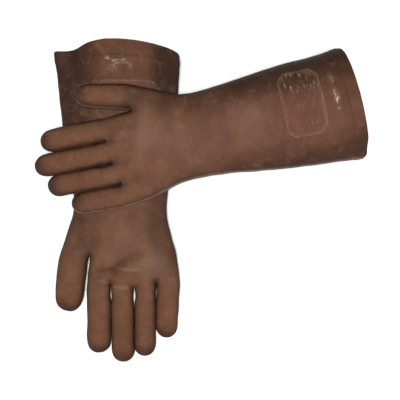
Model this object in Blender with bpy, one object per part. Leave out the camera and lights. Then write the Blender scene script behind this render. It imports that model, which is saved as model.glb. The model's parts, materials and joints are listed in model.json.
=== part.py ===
"""A pair of electrical insulating gloves, one lying across the other's gauntlet.

Each glove is a long rubber shell, dipped on a flat former, with an octagonal label bonded on the
gauntlet and a thicker band round the cuff. The shell is split where the rubber flexes: at the
wrist, at each knuckle and at the middle of each finger.

Sizes are in millimetres, and the meshes are made in metres. A glove is drawn in a frame of its
own: the origin is under the middle of the wrist, +Y runs to the fingertips, +X to the thumb, +Z up.
A finger is drawn in the frame of its root: +Y along the finger, +X across it.
"""
import math

import bmesh
import bpy
import numpy as np
from mathutils import Matrix, Vector

MM = 0.001

# The rubber skin
WALL = 2.1
GAP = 0.4
BAND_EXTRA = 0.6
BAND_WIDTH = 11.0
BODY_SIDES = 24
FINGER_SIDES = 16

# How far the rubber bends, in degrees
WRIST_BEND = 40.0
CUT_SPARE = 3.0

# The label, a thin octagon bonded on the gauntlet
LABEL_LENGTH = 45.0
LABEL_WIDTH = 72.0
LABEL_CHAMFER = 8.5
LABEL_LIFT = 0.4
LABEL_THICK = 0.5

# The line of the finger roots: a flat arch across the palm
ARCH_START = 60.0
ARCH_TOP = 92.5
ARCH_MIDDLE = -8.0
ARCH_FALL = 0.005

# The cuff's edge is not square: it bows and leans over this length
CUFF_SHAPED_LENGTH = 60.0

STUB_DEPTH = 15.0
STUB_OVERRUN = 6.0
PALM_OVERRUN = 10.0
PALM_STATIONS = (14, 28, 42, 53, 64, 78, 87)
PALM_END_SHARE = 0.6
PALM_END_INSET = 3.0
TIP_ANGLES = (0.0, 40.0, 70.0)

# Section fullness along the glove (station, power): 2 is an ellipse, more is squarer
FULLNESS = [(-180, 2.0), (-120, 2.1), (-50, 2.3), (0, 2.5), (60, 2.9), (95, 3.0)]
FINGER_FULLNESS = 2.3

# Both gloves' outlines, as (station along the glove, value) pairs
LOWER = {
    "name": "lower",
    "wrist": (-88.7, -5.7),
    "turn": 180.0,
    "wrist_bend": 0.0,
    "cuff": -168.0,
    "cuff_bow": 10.0,
    "cuff_lean": -1.5,
    "label_shift": -10.0,
    "label_from_cuff": 51.0,
    "thumb_side": [(-168, 71.6), (-88, 64.8), (-30, 55.5), (0, 51.0), (27, 58.7), (42, 63.2), (53, 48),
                   (64, 36.4), (78, 37), (95, 37.8)],
    "little_side": [(-168, -67.0), (-126, -65), (-60, -58), (-19, -53.6), (0, -52.3), (19, -53.3),
                    (40, -59.0), (64, -65.2), (80, -67.2), (95, -67)],
    "underside": [(-168, 0), (95, 0)],
    "thickness": [(-168, 62), (-150, 50), (-135, 39.5), (-118, 35.4), (-60, 35.2), (0, 34.5),
                  (30, 33), (60, 31), (80, 26), (95, 22)],
}
UPPER = {
    "name": "upper",
    "wrist": (-5.4, 71.0),
    "turn": 101.95,
    "wrist_bend": WRIST_BEND,
    "cuff": -176.0,
    "cuff_bow": 0.0,
    "cuff_lean": 2.3,
    "label_shift": 8.5,
    "label_from_cuff": 57.0,
    "thumb_side": [(-176, 61.2), (-141, 58), (-107, 55.6), (-72, 51.7), (-38, 47.2), (-9, 44.5),
                   (9, 46.1), (37, 59), (46, 61.5), (56, 52), (67, 38.5), (95, 37)],
    "little_side": [(-176, -61.4), (-106, -55.8), (-51, -49.7), (-18, -46.1), (4, -45.1), (26, -46.7),
                    (50, -53.8), (73, -59.3), (95, -60.4)],
    "underside": [(-176, 0.4), (-150, 4.5), (-100, 17), (-50, 30), (-15, 36.6), (10, 37.4), (95, 37.4)],
    "thickness": [(-176, 82), (-145, 69), (-106, 56), (-60, 44), (-15, 36.4), (30, 33), (60, 31),
                  (80, 26), (95, 22)],
}


def finger(name, root, tip, widths, thickness, heights, knuckle, middle, bends):
    """Name the sizes of one finger: half widths, thicknesses and middle heights go root to tip."""
    return {
        "name": name,
        "root": Vector(root),
        "tip": Vector(tip),
        "length": (Vector(tip) - Vector(root)).length,
        "widths": widths,
        "thickness": thickness,
        "heights": heights,
        "joints": (knuckle, middle),
        "bends": bends,
    }


LOWER["fingers"] = [
    finger("thumb", (52.8, 58.0), (60.4, 118.6), (16.1, 14.4), (26, 23), (13.6, 12.1), 14, 39, (45, 60)),
    finger("index", (25.0, 88.0), (24.0, 165.2), (13.2, 12.9), (22, 21), (11.6, 11.1), 15, 49, (70, 80)),
    finger("middle", (-2.0, 91.0), (-2.8, 175.8), (12.7, 12.2), (22, 21), (11.6, 11.1), 15, 52, (70, 80)),
    finger("ring", (-28.0, 89.0), (-27.4, 169.0), (11.9, 11.4), (22, 21), (11.6, 11.1), 15, 50, (70, 80)),
    finger("little", (-53.9, 86.0), (-51.6, 148.4), (13.1, 11.7), (21, 20), (11.1, 10.6), 13, 38, (65, 75)),
]
UPPER["fingers"] = [
    finger("thumb", (55.6, 60.0), (69.0, 115.6), (13.2, 11.0), (25, 22), (51.6, 52.1), 13, 36, (45, 60)),
    finger("index", (26.0, 90.0), (27.0, 163.3), (11.9, 11.0), (22, 21), (49.2, 46.0), 15, 48, (70, 80)),
    finger("middle", (1.0, 92.5), (2.2, 175.1), (11.9, 11.0), (22, 21), (49.2, 45.6), 15, 51, (70, 80)),
    finger("ring", (-23.6, 90.0), (-21.6, 165.7), (11.6, 11.0), (22, 21), (49.2, 45.8), 15, 49, (70, 80)),
    finger("little", (-47.8, 87.0), (-45.4, 144.3), (11.6, 10.6), (21, 20), (48.9, 46.4), 12, 35, (65, 75)),
]


def clear_scene():
    """Start from an empty scene."""
    for thing in list(bpy.data.objects):
        bpy.data.objects.remove(thing, do_unlink=True)


def smooth(points, at):
    """Read a smooth curve through (station, value) points."""
    stations = np.array([point[0] for point in points], dtype=float)
    values = np.array([point[1] for point in points], dtype=float)
    if len(points) == 2:
        return float(np.interp(at, stations, values))
    slopes = np.gradient(values, stations)
    start = int(np.clip(np.searchsorted(stations, at) - 1, 0, len(points) - 2))
    span = stations[start + 1] - stations[start]
    t = float(np.clip((at - stations[start]) / span, 0, 1))
    begin = values[start] * (1 + 2 * t) * (1 - t) ** 2 + slopes[start] * span * t * (1 - t) ** 2
    end = values[start + 1] * t * t * (3 - 2 * t) + slopes[start + 1] * span * t * t * (t - 1)
    return float(begin + end)


def section(left, right, low, high, sides, power):
    """Return the (x, z) points of a rounded section with a flat edge at its top and its underside."""
    angles = (np.arange(sides) + 0.5) * 2 * math.pi / sides
    across = np.sign(np.cos(angles)) * np.abs(np.cos(angles)) ** (2 / power)
    upward = np.sign(np.sin(angles)) * np.abs(np.sin(angles)) ** (2 / power)
    across = across / np.abs(across).max()
    upward = upward / np.abs(upward).max()
    x = (left + right) / 2 + (right - left) / 2 * across
    z = (low + high) / 2 + (high - low) / 2 * upward
    return x, z


def body_limits(glove, station, inset):
    """Return left, right, low and high of the glove's section, moved in by the inset."""
    low = smooth(glove["underside"], station)
    return (
        smooth(glove["little_side"], station) + inset,
        smooth(glove["thumb_side"], station) - inset,
        low + inset,
        low + smooth(glove["thickness"], station) - inset,
    )


def wrist_height(glove):
    """Return the height of the middle of the wrist."""
    _, _, low, high = body_limits(glove, 0, 0)
    return (low + high) / 2


def cut_back(z, axis_height, bend):
    """Return how far a cut end stands back from its hinge, so that the bent ends just clear."""
    return GAP / 2 + max(0.0, z - axis_height) * math.tan(math.radians((bend + CUT_SPARE) / 2))


def arch_drop(x, station):
    """Return how far a row is pulled back towards the arch of the finger roots."""
    share = max(0.0, station - ARCH_START) / (ARCH_TOP - ARCH_START)
    return share * ARCH_FALL * (x - ARCH_MIDDLE) ** 2


def cuff_shift(glove, x, station):
    """Return how far a point near the cuff moves along the glove, where the edge bows and leans."""
    left, right, _, _ = body_limits(glove, station, 0)
    side = (2 * x - left - right) / (right - left)
    share = max(0.0, 1 - (station - glove["cuff"]) / CUFF_SHAPED_LENGTH)
    return share ** 2 * (glove["cuff_lean"] * side - glove["cuff_bow"] * (1 - side ** 2))


def body_row(glove, station, inset, wrist_side=0):
    """Return one row of the gauntlet or hand. wrist_side is 1 or -1 on a row that ends at the wrist."""
    limits = body_limits(glove, station, inset)
    row = []
    for x, z in zip(*section(*limits, BODY_SIDES, smooth(FULLNESS, station))):
        y = station - arch_drop(x, station) + cuff_shift(glove, x, station)
        if wrist_side:
            y = wrist_side * cut_back(z, wrist_height(glove), glove["wrist_bend"])
        row.append((x, y, z))
    return row


def along(part, key, station):
    """Read a finger's size between its root and its tip."""
    start, end = part[key]
    return start + (end - start) * max(0.0, station) / part["length"]


def finger_row(part, station, inset, cut=None):
    """Return one row of a finger. cut is (bend, side) on a row that ends at a joint."""
    length = part["length"] - inset
    tip_radius = along(part, "thickness", part["length"]) / 2 - inset
    beyond = max(0.0, station - length + tip_radius) / tip_radius
    round_off = math.sqrt(max(0.0, 1 - beyond ** 2))
    half_width = (along(part, "widths", station) - inset) * round_off
    half_thick = (along(part, "thickness", station) / 2 - inset) * round_off
    middle = along(part, "heights", station)
    sides = section(-half_width, half_width, middle - half_thick, middle + half_thick,
                    FINGER_SIDES, FINGER_FULLNESS)
    row = []
    for x, z in zip(*sides):
        y = station
        if cut:
            y = station + cut[1] * cut_back(z, middle, cut[0])
        row.append((x, y, z))
    return row


def bridge(bm, first, second):
    """Fill a strip of faces between two rows."""
    count = len(first)
    for k in range(count):
        after = (k + 1) % count
        bm.faces.new((first[k], first[after], second[after], second[k]))


def fan(bm, row, centre):
    """Close a row with triangles that meet at its centre."""
    hub = bm.verts.new(centre)
    for k in range(len(row)):
        bm.faces.new((row[k], row[(k + 1) % len(row)], hub))


def loft(bm, rows):
    """Add rows of points joined by faces, and return the rows' vertices."""
    placed = [[bm.verts.new(point) for point in row] for row in rows]
    for first, second in zip(placed, placed[1:]):
        bridge(bm, first, second)
    return placed


def to_mesh(bm, name, origin):
    """Turn a bmesh in millimetres into a mesh in metres with its origin moved."""
    bmesh.ops.translate(bm, verts=bm.verts, vec=-Vector(origin))
    bmesh.ops.scale(bm, verts=bm.verts, vec=(MM, MM, MM))
    bmesh.ops.recalc_face_normals(bm, faces=bm.faces)
    mesh = bpy.data.meshes.new(name)
    bm.to_mesh(mesh)
    bm.free()
    return mesh


def tube(name, outer, inner, origin, tips=None):
    """Make a hollow skin: open at both ends, or closed at the far end where tips gives two centres."""
    bm = bmesh.new()
    skin = loft(bm, outer)
    lining = loft(bm, inner)
    bridge(bm, skin[0], lining[0])
    if tips:
        fan(bm, skin[-1], tips[0])
        fan(bm, lining[-1], tips[1])
    else:
        bridge(bm, skin[-1], lining[-1])
    return to_mesh(bm, name, origin)


def solid(name, rows, start, end, turn=None):
    """Make a filled loft with fans at both ends, as an operand for a Boolean."""
    bm = bmesh.new()
    placed = loft(bm, rows)
    fan(bm, placed[0], start)
    fan(bm, placed[-1], end)
    if turn:
        bmesh.ops.transform(bm, matrix=turn, verts=bm.verts)
    return new_object(name, to_mesh(bm, name, (0, 0, 0)))


def new_object(name, mesh):
    """Put a mesh in the scene."""
    made = bpy.data.objects.new(name, mesh)
    bpy.context.scene.collection.objects.link(made)
    return made


def combine(target, tool, operation):
    """Apply one exact Boolean and drop the tool."""
    step = target.modifiers.new(operation, "BOOLEAN")
    step.object = tool
    step.operation = operation
    step.solver = "EXACT"
    graph = bpy.context.evaluated_depsgraph_get()
    result = bpy.data.meshes.new_from_object(target.evaluated_get(graph))
    target.modifiers.clear()
    target.data = result
    bpy.data.objects.remove(tool, do_unlink=True)


def material(name, colour, roughness):
    """Make one rubber finish."""
    made = bpy.data.materials.new(name)
    made.use_nodes = True
    shader = made.node_tree.nodes["Principled BSDF"]
    shader.inputs["Base Color"].default_value = (*colour, 1.0)
    shader.inputs["Roughness"].default_value = roughness
    shader.inputs["Metallic"].default_value = 0.0
    return made


def place(name, mesh, finish, parent, position, heading=0.0):
    """Make one named piece and hang it from its parent, in the parent's frame."""
    piece = new_object(name, mesh)
    piece.data.name = name
    piece.data.materials.clear()
    piece.data.materials.append(finish)
    piece.data.shade_smooth()
    piece.data.set_sharp_from_angle(angle=math.radians(40))
    piece.parent = parent
    piece.location = Vector(position) * MM
    piece.rotation_euler = (0, 0, heading)
    return piece


def finger_heading(part):
    """Return the finger's turn about Z from the glove's +Y."""
    line = part["tip"] - part["root"]
    return math.atan2(-line.x, line.y)


def finger_point(part, station):
    """Return the glove's coordinates of the finger's centre line at a station."""
    flat = part["root"].lerp(part["tip"], station / part["length"])
    return Vector((flat.x, flat.y, along(part, "heights", station)))


def stub(part, inset, reach):
    """Make the finger's root as a solid in the glove's frame. reach is how far past the knuckle."""
    knuckle = part["joints"][0]
    bend = part["bends"][0]
    start = -STUB_DEPTH + inset
    rows = [finger_row(part, start, inset), finger_row(part, 0.0, inset)]
    if reach:
        rows.append(finger_row(part, knuckle + reach, inset))
    else:
        rows.append(finger_row(part, knuckle, inset, (bend, -1)))
    front = knuckle + reach if reach else knuckle - GAP / 2
    turn = Matrix.Translation((part["root"].x, part["root"].y, 0)) @ Matrix.Rotation(
        finger_heading(part), 4, "Z")
    return solid(
        "stub",
        rows,
        (0, start, along(part, "heights", 0)),
        (0, front, along(part, "heights", knuckle)),
        turn,
    )


def palm(glove, inset, overrun):
    """Make the palm as a solid. The overrun carries it past the wrist, to cut an opening there."""
    first = body_row(glove, 0, inset, 1)
    if overrun:
        first = [(x, -overrun, z) for x, _, z in first]
    rows = [first] + [body_row(glove, station, inset) for station in PALM_STATIONS]
    last = ARCH_TOP - inset
    left, right, low, high = body_limits(glove, last, inset)
    middle = (low + high) / 2
    half = (high - low) / 2 * PALM_END_SHARE
    end = section(left + PALM_END_INSET, right - PALM_END_INSET, middle - half, middle + half,
                  BODY_SIDES, smooth(FULLNESS, last))
    rows.append([(x, last - arch_drop(x, last), z) for x, z in zip(*end)])
    start_y = -overrun if overrun else GAP / 2
    hub_x = (left + right) / 2
    return solid(
        "palm",
        rows,
        (0, start_y, wrist_height(glove)),
        (hub_x, last - arch_drop(hub_x, last), middle),
    )


def make_hand(glove, finish, parent):
    """Palm and back of the hand with the five finger roots, one hollow skin open at the wrist."""
    hand = palm(glove, 0.0, 0.0)
    for part in glove["fingers"]:
        combine(hand, stub(part, 0.0, 0.0), "UNION")
    combine(hand, palm(glove, WALL, PALM_OVERRUN), "DIFFERENCE")
    for part in glove["fingers"]:
        combine(hand, stub(part, WALL, STUB_OVERRUN), "DIFFERENCE")
    mesh = hand.data
    bpy.data.objects.remove(hand, do_unlink=True)
    height = wrist_height(glove)
    mesh.transform(Matrix.Translation((0, 0, -height * MM)))
    return place(glove["name"] + "_hand", mesh, finish, parent, (0, 0, height))


def gauntlet_stations(glove):
    """Return the rows of the gauntlet, from the cuff band to just short of the wrist."""
    end = glove["cuff"] + BAND_WIDTH + GAP
    label = glove["cuff"] + glove["label_from_cuff"]
    return [end, label - 36, label - 24, label - 8, label + 8, label + 24, -60, -30, -12]


def make_gauntlet(glove, finish, parent):
    """The open tapered tube over the forearm."""
    name = glove["name"] + "_gauntlet"
    height = wrist_height(glove)
    skins = []
    for inset in (0.0, WALL):
        rows = [body_row(glove, station, inset) for station in gauntlet_stations(glove)]
        rows.append(body_row(glove, 0, inset, -1))
        skins.append(rows)
    mesh = tube(name, skins[0], skins[1], (0, 0, height))
    return place(name, mesh, finish, parent, (0, 0, height))


def make_cuff_band(glove, finish, parent):
    """The double thickness of rubber round the cuff."""
    name = glove["name"] + "_cuff_band"
    height = wrist_height(glove)
    stations = [glove["cuff"], glove["cuff"] + BAND_WIDTH / 2, glove["cuff"] + BAND_WIDTH]
    outer = []
    for station in stations:
        floor = smooth(glove["underside"], station)
        outer.append([(x, y, max(z, floor)) for x, y, z in body_row(glove, station, -BAND_EXTRA)])
    inner = [body_row(glove, station, WALL + BAND_EXTRA) for station in stations]
    mesh = tube(name, outer, inner, (0, 0, height))
    return place(name, mesh, finish, parent, (0, 0, height))


def label_prism(glove):
    """Make the octagonal prism that the label is cut with."""
    middle = glove["cuff"] + glove["label_from_cuff"]
    shift = glove["label_shift"]
    half_x = LABEL_WIDTH / 2
    half_y = LABEL_LENGTH / 2
    cut = LABEL_CHAMFER
    corners = [
        (half_x, -half_y + cut), (half_x, half_y - cut), (half_x - cut, half_y), (cut - half_x, half_y),
        (-half_x, half_y - cut), (-half_x, cut - half_y), (cut - half_x, -half_y), (half_x - cut, -half_y),
    ]
    bm = bmesh.new()
    rows = [[(shift + x, middle + y, z) for x, y in corners] for z in (20.0, 120.0)]
    placed = loft(bm, rows)
    bm.faces.new(placed[0])
    bm.faces.new(placed[1])
    return new_object("prism", to_mesh(bm, "prism", (0, 0, 0)))


def make_label(glove, finish, parent):
    """The thin octagonal label, which follows the top of the gauntlet."""
    name = glove["name"] + "_label_patch"
    height = wrist_height(glove)
    top_columns = range(1, BODY_SIDES // 2 - 1)
    layers = []
    for lift in (LABEL_LIFT, LABEL_LIFT + LABEL_THICK):
        rows = []
        for station in gauntlet_stations(glove)[1:7]:
            row = body_row(glove, station, 0.0)
            rows.append([(row[k][0], row[k][1], row[k][2] + lift) for k in top_columns])
        layers.append(rows)
    bm = bmesh.new()
    placed = loft(bm, [under + over[::-1] for under, over in zip(*layers)])
    bm.faces.new(placed[0])
    bm.faces.new(placed[-1])
    sheet = new_object(name, to_mesh(bm, name, (0, 0, 0)))
    combine(sheet, label_prism(glove), "INTERSECT")
    mesh = sheet.data
    bpy.data.objects.remove(sheet, do_unlink=True)
    mesh.transform(Matrix.Translation((0, 0, -height * MM)))
    return place(name, mesh, finish, parent, (0, 0, height))


def make_finger_base(glove, part, finish, parent):
    """The finger's tube from its knuckle to its middle joint, with its origin on the knuckle's axis."""
    knuckle, middle = part["joints"]
    bend, next_bend = part["bends"]
    name = glove["name"] + "_" + part["name"] + "_base"
    skins = []
    for inset in (0.0, WALL):
        skins.append([
            finger_row(part, knuckle, inset, (bend, 1)),
            finger_row(part, (knuckle + middle) / 2, inset),
            finger_row(part, middle, inset, (next_bend, -1)),
        ])
    origin = (0, knuckle, along(part, "heights", knuckle))
    mesh = tube(name, skins[0], skins[1], origin)
    return place(name, mesh, finish, parent, finger_point(part, knuckle), finger_heading(part))


def make_finger_tip(glove, part, finish, base):
    """The finger's closed end, with its origin on the middle joint's axis."""
    knuckle, middle = part["joints"]
    bend = part["bends"][1]
    name = glove["name"] + "_" + part["name"] + "_tip"
    skins = []
    centres = []
    for inset in (0.0, WALL):
        radius = along(part, "thickness", part["length"]) / 2 - inset
        dome = part["length"] - inset - radius
        rows = [finger_row(part, middle, inset, (bend, 1))]
        rows += [finger_row(part, dome + radius * math.sin(math.radians(angle)), inset)
                 for angle in TIP_ANGLES]
        skins.append(rows)
        centres.append((0, part["length"] - inset, along(part, "heights", part["length"])))
    origin = (0, middle, along(part, "heights", middle))
    mesh = tube(name, skins[0], skins[1], origin, centres)
    rise = along(part, "heights", middle) - along(part, "heights", knuckle)
    return place(name, mesh, finish, base, (0, middle - knuckle, rise))


def make_glove(glove, finishes):
    """Build one glove's pieces under an empty that lies on the floor below its wrist."""
    frame = bpy.data.objects.new(glove["name"] + "_glove_frame", None)
    bpy.context.scene.collection.objects.link(frame)
    frame.location = (glove["wrist"][0] * MM, glove["wrist"][1] * MM, 0)
    frame.rotation_euler = (0, 0, math.radians(glove["turn"]))
    make_hand(glove, finishes["hand"], frame)
    make_gauntlet(glove, finishes["gauntlet"], frame)
    make_cuff_band(glove, finishes["cuff"], frame)
    make_label(glove, finishes["label"], frame)
    for part in glove["fingers"]:
        base = make_finger_base(glove, part, finishes["finger"], frame)
        make_finger_tip(glove, part, finishes["fingertip"], base)
    return frame


def centre_on_floor(frames):
    """Move both gloves so that the pair's box has its bottom centre at the origin."""
    bpy.context.view_layer.update()
    corners = [
        thing.matrix_world @ vertex.co
        for thing in bpy.data.objects if thing.type == "MESH"
        for vertex in thing.data.vertices
    ]
    low = Vector(min(corner[axis] for corner in corners) for axis in range(3))
    high = Vector(max(corner[axis] for corner in corners) for axis in range(3))
    shift = Vector(((low.x + high.x) / 2, (low.y + high.y) / 2, low.z))
    for frame in frames:
        frame.location = frame.location - shift
    bpy.context.view_layer.update()


def main():
    clear_scene()
    finishes = {
        "hand": material("hand_rubber", (0.12, 0.065, 0.043), 0.62),
        "gauntlet": material("gauntlet_rubber", (0.085, 0.042, 0.028), 0.55),
        "cuff": material("cuff_rubber", (0.075, 0.037, 0.025), 0.5),
        "label": material("label_rubber", (0.1, 0.055, 0.037), 0.6),
        "finger": material("finger_rubber", (0.12, 0.065, 0.043), 0.62),
        "fingertip": material("fingertip_rubber", (0.1, 0.052, 0.035), 0.6),
    }
    frames = [make_glove(LOWER, finishes), make_glove(UPPER, finishes)]
    centre_on_floor(frames)


main()
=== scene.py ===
import json
import math

import bpy
import numpy as np
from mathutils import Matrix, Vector
from mathutils.bvhtree import BVHTree


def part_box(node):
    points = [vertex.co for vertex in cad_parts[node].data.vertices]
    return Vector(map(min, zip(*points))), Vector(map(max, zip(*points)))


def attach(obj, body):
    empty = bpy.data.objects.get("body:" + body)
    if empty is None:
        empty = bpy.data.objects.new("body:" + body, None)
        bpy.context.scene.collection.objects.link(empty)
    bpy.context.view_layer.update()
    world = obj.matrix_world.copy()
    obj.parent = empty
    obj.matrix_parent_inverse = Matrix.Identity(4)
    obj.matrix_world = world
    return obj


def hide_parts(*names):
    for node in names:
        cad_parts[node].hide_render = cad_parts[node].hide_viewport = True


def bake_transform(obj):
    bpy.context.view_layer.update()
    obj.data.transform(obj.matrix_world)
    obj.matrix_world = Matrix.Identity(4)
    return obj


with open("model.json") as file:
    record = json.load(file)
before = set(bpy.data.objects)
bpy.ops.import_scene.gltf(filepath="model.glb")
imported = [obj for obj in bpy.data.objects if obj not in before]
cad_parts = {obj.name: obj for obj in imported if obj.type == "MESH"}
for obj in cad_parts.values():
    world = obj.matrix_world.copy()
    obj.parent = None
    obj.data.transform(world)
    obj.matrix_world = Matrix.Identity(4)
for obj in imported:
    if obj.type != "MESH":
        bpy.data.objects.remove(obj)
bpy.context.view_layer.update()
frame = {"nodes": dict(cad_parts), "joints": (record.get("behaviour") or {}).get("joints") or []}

MM = 0.001
UP = np.array((0.0, 0.0, 1.0))
GLOVES = ("lower", "upper")
FINGERS = ("thumb", "index", "middle", "ring", "little")

# The rubber skin, in millimetres
WALL = 2.1
BAND_EXTRA = 0.6
BAND_WIDTH = 11.0
CUFF_SHAPED_LENGTH = 60.0
FLOOR_CLEARANCE = 0.25

# Where the CAD hand is measured; past THUMB_FROM its thumb side is the thumb's own
HAND_CUTS = (12, 20, 28, 36, 50, 62, 74, 82)
LAST_CUT = HAND_CUTS[-1]
THUMB_FROM = 40.0

# Section fullness along the glove (station, power): 2 is an ellipse, more is squarer
FULLNESS = [(-180, 2.0), (-120, 2.1), (-50, 2.3), (0, 2.5), (60, 2.9), (95, 3.0)]
FINGER_FULLNESS = 2.3

# The lower cuff's lip: across the glove, where it starts to level the bow and over what reach
LIP_START = 0.08
LIP_REACH = 0.85

# The cuff's corner is pressed flat: amount, where it starts across the glove, over what reach
PINCH = {"lower": (1.0, 0.40, 0.36), "upper": (0.5, 0.70, 0.20)}
PINCH_LENGTH = 46.0
PINCHED_HALF = 2.8

# Zones of the skin; the fingers' bases and then their tips follow these
HAND_ZONE, GAUNTLET_ZONE, BAND_ZONE, FIRST_BASE = range(4)
FIRST_TIP = FIRST_BASE + len(FINGERS)

# The coarse cage that subdivision rounds off
SPAN = 4
COLUMNS = SPAN * len(FINGERS)
ROOT_COLUMNS = SPAN * (len(FINGERS) - 1)
EDGE_INSET = 2.6
RING_GROW = 1.047
RING_STEP = 7.0
SUBDIVISIONS = 2
ROW_STEP = 9.0
PALM_ROWS = 8
GAUNTLET_ROWS = (0, 3, 8, 10.6, 12.4, 18, 26, 35, 44, 53, 62, 71, 80, 90, 100)
# Where the crotches lie: back from the knuckle along the finger, and aside across the glove
THUMB_CROTCH_BACK = {"lower": 17.7, "upper": 14.0}
THUMB_CROTCH_ASIDE = {"lower": -3.5, "upper": 0.0}
THUMB_SWELL = {"lower": 1.2, "upper": 0.0}
ROOT_BACK = 14.0
CROTCH_BACK = {"lower": (16.0, 12.0, 14.2), "upper": (12.5, 13.5, 13.6)}
CROTCH_ASIDE = {"lower": (0.0, 0.0, 0.0), "upper": (0.0, 1.2, 2.2)}
CUFF_CORNER = {"lower": 1.6, "upper": 4.0}
FIRST_RING = -8.5
# The closed fingertip: the turns and fullness of its rings, and the row across its end
DOME_ANGLES = (0.0, 38.0, 70.0)
DOME_FULLNESS = 0.86
END_OUT = 0.5
END_DROP = 1.6
END_OFFSETS = (0.66, 0.36, 0.0, -0.36, -0.66)

# From the thumb's crotch to the finger roots: share of the way, height left where slots begin
PALM_STEPS = ((0.25, 1.0), (0.5, 0.95), (0.75, 0.9), (1.0, 0.58))
PALM_FULLNESS = 2.9
WEB_DEPTH = 2.0

SLOT_ROOM = 1.1
SLOT_REACH = 3.2
# Where the slots between fingers open, from each knuckle: thumb side, little-finger side
SLOTS = {
    "thumb": (None, None),
    "index": (None, -2.5),
    "middle": (-2.5, -2.5),
    "ring": (-2.5, -7.0),
    "little": (-7.0, None),
}

# The label
LABEL_LENGTH = 45.0
LABEL_WIDTH = 72.0
LABEL_CHAMFER = 8.5
LABEL_STEP = 0.75
LABEL_SUNK = 0.6
HIGH_ABOVE = 200.0
ON_TOP = 20.0


def smoothstep(x):
    """Go smoothly from 0 to 1 as x does."""
    t = np.clip(x, 0.0, 1.0)
    return t * t * (3 - 2 * t)


def smooth(table, at):
    """Read a smooth curve through (station, value) points; it stays level past its ends."""
    stations, values = np.array(table, float).T
    slopes = np.gradient(values, stations)
    at = np.clip(at, stations[0], stations[-1])
    i = np.clip(np.searchsorted(stations, at) - 1, 0, len(stations) - 2)
    span = stations[i + 1] - stations[i]
    t = (at - stations[i]) / span
    begin = values[i] * (1 + 2 * t) * (1 - t) ** 2 + slopes[i] * span * t * (1 - t) ** 2
    end = values[i + 1] * t * t * (3 - 2 * t) + slopes[i + 1] * span * t * t * (t - 1)
    return begin + end


# ---- What the frame says about each glove ----

def node_mesh(name):
    """Return a CAD node's vertices, in millimetres, and its edges."""
    mesh = frame["nodes"][name].data
    points = np.empty(len(mesh.vertices) * 3)
    mesh.vertices.foreach_get("co", points)
    edges = np.empty(len(mesh.edges) * 2, dtype=np.int32)
    mesh.edges.foreach_get("vertices", edges)
    return points.reshape(-1, 3) / MM, edges.reshape(-1, 2)


def to_local(glove, points):
    """Turn world points into the glove's frame: +Y to the fingertips, +X to the thumb."""
    flat = points[:, :2] - glove["origin"]
    return np.stack((flat @ glove["across"], flat @ glove["along"], points[:, 2]), 1)


def cut(points, edges, station):
    """Return the limits (low x, high x, low z, high z) of a mesh where it crosses y = station."""
    a, b = points[edges[:, 0]], points[edges[:, 1]]
    crosses = (a[:, 1] - station) * (b[:, 1] - station) < 0
    a, b = a[crosses], b[crosses]
    t = (station - a[:, 1]) / (b[:, 1] - a[:, 1])
    hits = a + (b - a) * t[:, None]
    return hits[:, 0].min(), hits[:, 0].max(), hits[:, 2].min(), hits[:, 2].max()


def joint(name):
    """Return a joint's place, in millimetres, and its axis."""
    found = next(j for j in frame["joints"] if j["name"] == name)
    return np.array(found["pos_m"]) / MM, np.array(found["axis"], float)


def glove_frame(name):
    """Find where a glove's wrist is and which way its fingers point."""
    if name == "upper":
        place, axis = joint("upper_wrist_bend")
        along = -np.cross(UP, axis)
        origin = place[:2]
    else:
        along = np.array((0.0, -1.0, 0.0))
        hand_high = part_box("lower_hand")[1]
        gauntlet_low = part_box("lower_gauntlet")[0]
        origin = np.array((0.0, (hand_high.y + gauntlet_low.y) / 2 / MM))
    across = np.cross(along, UP)
    glove = {"name": name, "origin": origin, "along": along[:2], "across": across[:2]}
    if name == "lower":
        points, edges = node_mesh("lower_gauntlet")
        low, high, _, _ = cut(to_local(glove, points), edges, -12.0)
        glove["origin"] = origin + glove["across"] * (low + high) / 2
    return glove


def measure_finger(glove, name):
    """Measure one finger in its own frame, whose stations run from the knuckle along the finger."""
    prefix = f"{glove['name']}_{name}"
    knuckle, axis = joint(prefix + "_knuckle")
    middle, _ = joint(prefix + "_middle_joint")
    direction = np.cross(UP, axis)[:2]
    own = {
        "origin": knuckle[:2],
        "along": direction,
        "across": np.array((direction[1], -direction[0])),
    }
    reach = float((middle[:2] - knuckle[:2]) @ direction)
    samples = []
    for node, station in (("_base", reach / 2), ("_tip", reach + 11)):
        points, edges = node_mesh(prefix + node)
        local = to_local(own, points)
        low, high, under, over = cut(local, edges, station)
        samples.append((station, (high - low) / 2, (over - under) / 2, (over + under) / 2))
    stations, half_widths, halves, heights = np.array(samples).T
    line = to_local(glove, np.array([[*knuckle[:2], 0.0], [*(knuckle[:2] + direction), 0.0]]))
    return {
        "knuckle": line[0, :2],
        "direction": line[1, :2] - line[0, :2],
        "middle": reach,
        "length": float(local[:, 1].max()),
        "slots": SLOTS[name],
        "swell": THUMB_SWELL[glove["name"]] if name == "thumb" else 0.0,
        "width": np.polyfit(stations, half_widths, 1),
        "half": np.polyfit(stations, halves, 1),
        "height": np.polyfit(stations, heights, 1),
        "world_knuckle": knuckle,
        "world_middle": middle,
        "world_direction": np.array((*direction, 0.0)),
    }


def cuff_shift(glove, x, station):
    """Return how far a point near the cuff moves along the glove, where the edge bows and leans."""
    left = smooth(glove["left"], station)
    right = smooth(glove["right"], station)
    side = np.clip((2 * x - left - right) / (right - left), -1, 1)
    share = np.clip(1 - (station - glove["cuff"]) / CUFF_SHAPED_LENGTH, 0, 1)
    bow = (1 - side ** 2) * (1 - glove["lip_level"] * smoothstep((side - LIP_START) / LIP_REACH))
    return share ** 2 * (glove["lean"] * side - glove["bow"] * bow)


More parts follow.
